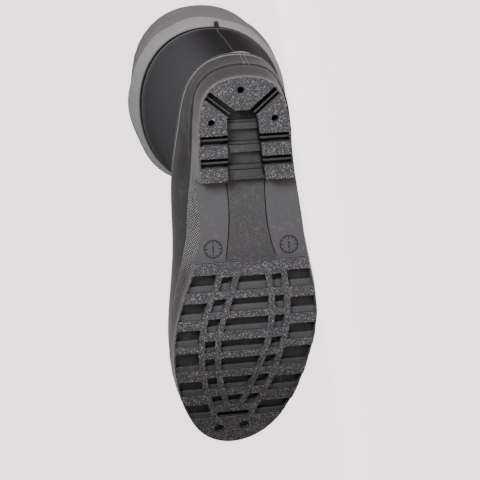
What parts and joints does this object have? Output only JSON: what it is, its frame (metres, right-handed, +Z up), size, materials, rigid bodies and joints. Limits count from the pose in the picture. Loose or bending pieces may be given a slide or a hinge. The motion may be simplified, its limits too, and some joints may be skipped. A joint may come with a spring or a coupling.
{
  "type": "wader boot",
  "caption": "Right wader boot: moulded PVC boot with a lugged sole and calf-high shaft, and the lower leg of neoprene that comes out of it, lying on its lateral side.",
  "frame": {"origin": "on the floor, under the middle of the boot's bounding box as it lies on its lateral side", "axes": "+Z up from the floor, +Y along the shaft from the sole to the leg's hem, +X from the toe to the heel"},
  "size_m": [0.3178, 0.4502, 0.1677],
  "materials": {
    "pvc_sole": "matt moulded PVC with a crinkled tread",
    "pvc_boot": "smooth satin moulded PVC",
    "insole": "felt",
    "neoprene": "neoprene faced with knitted jersey",
    "seam_tape": "satin seam tape"
  },
  "bodies": {
    "root": {"outsole": "pvc_sole", "upper": "pvc_boot", "insole": "insole", "neoprene_leg": "neoprene", "seam_tab": "seam_tape"}
  },
  "joints": []
}
